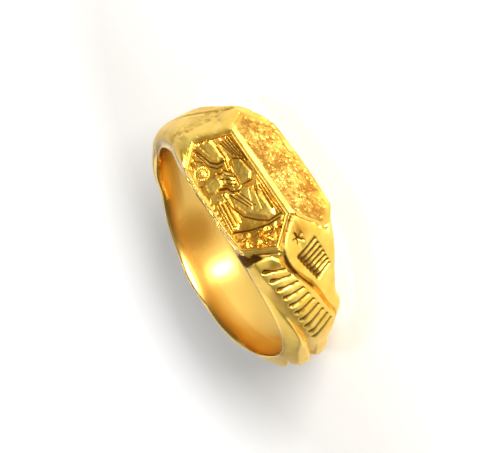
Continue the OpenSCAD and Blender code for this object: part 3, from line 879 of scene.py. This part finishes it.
solid_plate("lower_plate", plate_points(x, y, relief, 1),
            {"cut": 0.8 * cut, "patina_and_shade": 0.8 * patina_and_shade, "polish": np.zeros_like(x)}, sandy_gold)

# Floor. One flat sheet of white acrylic with a painted glow: a painted pool of light in the finger
# hole, faint under the shadow, and brighter in front and far off.
FLOOR_SIZE = 6
# Reach of the painted glow round the hole and how far its middle is off the hole's centre, in m;
# then glow against the distance as a share of that reach
GLOW_REACH = 0.04
GLOW_OFF = 0.0025
GLOW = [(0.17, "#C2C2C2"), (0.26, "#000000"), (0.6, "#000000"), (1.0, "#9C9C9C")]
# Glow in front of the ring and behind it, and where it starts and stops to fade, in m
FRONT_GLOW, BACK_GLOW = 0.17, 0.02
FADE_FROM, FADE_TO = -0.014, 0.012
bpy.ops.object.select_all(action="DESELECT")
bpy.ops.mesh.primitive_plane_add(size=FLOOR_SIZE)
floor = bpy.context.object
floor.name = "floor"
# Sanded acrylic, so matt that it mirrors nothing of the ring, warm white, its painted glow cooler
acrylic = bpy.data.materials.new("white_acrylic")
acrylic.use_nodes = True
sheet = acrylic.node_tree.nodes["Principled BSDF"]
sheet.inputs["Base Color"].default_value = linear("#F5F2EC")
sheet.inputs["Roughness"].default_value = 0.9
sheet.inputs["Emission Color"].default_value = linear("#F2F6FF")
# Painted glow: a pool round the hole, none round the ring where the shadow falls, more far off and
# in front
under = add_node(acrylic, "ShaderNodeTexCoord").outputs["Object"]
from_hole = add_node(acrylic, "ShaderNodeVectorMath", {"operation": "DISTANCE"}, {0: under})
glow_x, glow_y = hole_centre[0] / 1000 + GLOW_OFF, hole_centre[1] / 1000
from_hole.inputs[1].default_value = (glow_x, glow_y, 0)
reached = add_node(acrylic, "ShaderNodeMapRange", {"From Max": GLOW_REACH},
                   {"Value": from_hole.outputs["Value"]})
painted_glow = add_node(acrylic, "ShaderNodeValToRGB", (), {"Fac": reached.outputs["Result"]})
ramp(painted_glow, GLOW)
split = add_node(acrylic, "ShaderNodeSeparateXYZ", (), {0: under})
front = add_node(acrylic, "ShaderNodeMapRange",
                 {"interpolation_type": "SMOOTHSTEP", "From Min": FADE_FROM, "From Max": FADE_TO,
                  "To Min": FRONT_GLOW, "To Max": BACK_GLOW}, {"Value": split.outputs["Y"]})
strength = add_node(acrylic, "ShaderNodeMath", {"operation": "ADD"},
                    {0: painted_glow.outputs["Color"], 1: front.outputs["Result"]})
acrylic.node_tree.links.new(strength.outputs["Value"], sheet.inputs["Emission Strength"])
floor.data.materials.append(acrylic)

# Studio light. A dim room with white softboxes, so that the gold mirrors bright and dark in turn:
# a strong one low in front, which throws the shadow back, one overhead and the rest low all round.
ROOM_LIGHT = 0.17
bpy.context.scene.view_settings.view_transform = "Standard"
world = bpy.data.worlds.new("room")
world.use_nodes = True
world.node_tree.nodes["Background"].inputs["Color"].default_value = linear("#FFFFFF")
world.node_tree.nodes["Background"].inputs["Strength"].default_value = ROOM_LIGHT
bpy.context.scene.world = world
# Softboxes: bearing from the front towards +X and height above the floor in degrees, distance,
# width and height in m, watts
SOFTBOXES = {"key": (-12, 10, 0.4, 0.17, 0.07, 5.4),
             "overhead": (134, 65, 0.4, 0.075, 0.075, 0.26),
             "backdrop": (152, 22, 0.4, 0.46, 0.16, 0.22),
             "right": (100, 24, 0.4, 0.28, 0.26, 0.13),
             "left_back": (-162, 34, 0.4, 0.17, 0.2, 0.15),
             "left": (-54, 50, 0.4, 0.2, 0.2, 0.1)}
for name, (bearing, above, distance, broad, tall, watts) in SOFTBOXES.items():
    bearing, above = math.radians(bearing), math.radians(above)
    data = bpy.data.lights.new(name, "AREA")
    data.shape = "RECTANGLE"
    data.size, data.size_y = broad, tall
    data.energy = watts
    way = Vector((math.sin(bearing) * math.cos(above), -math.cos(bearing) * math.cos(above),
                  math.sin(above)))
    box = bpy.data.objects.new(name, data)
    box.location = origin + way * distance
    box.rotation_euler = way.to_track_quat("Z", "Y").to_euler()
    bpy.context.scene.collection.objects.link(box)

# A small lamp in the hole, out of the camera's sight, for the bright patch on the far wall: its
# place and what it points at on the upright ring in mm, its radius in m, its beam and its watts
SPARK_AT, SPARK_TO = (1.0, -3.2, -3.2), (1.9, 8.9, 0.2)
SPARK_R, SPARK_BEAM, SPARK_WATTS = 0.0004, math.radians(110), 4.2e-4
spark_data = bpy.data.lights.new("spark", "SPOT")
spark_data.shadow_soft_size = SPARK_R
spark_data.spot_size = SPARK_BEAM
spark_data.spot_blend = 1
spark_data.energy = SPARK_WATTS
spark = bpy.data.objects.new("spark", spark_data)
spark.location = laid(SPARK_AT)
aim = Vector(laid(SPARK_TO)) - spark.location
spark.rotation_euler = (-aim).to_track_quat("Z", "Y").to_euler()
spark.visible_camera = False
bpy.context.scene.collection.objects.link(spark)
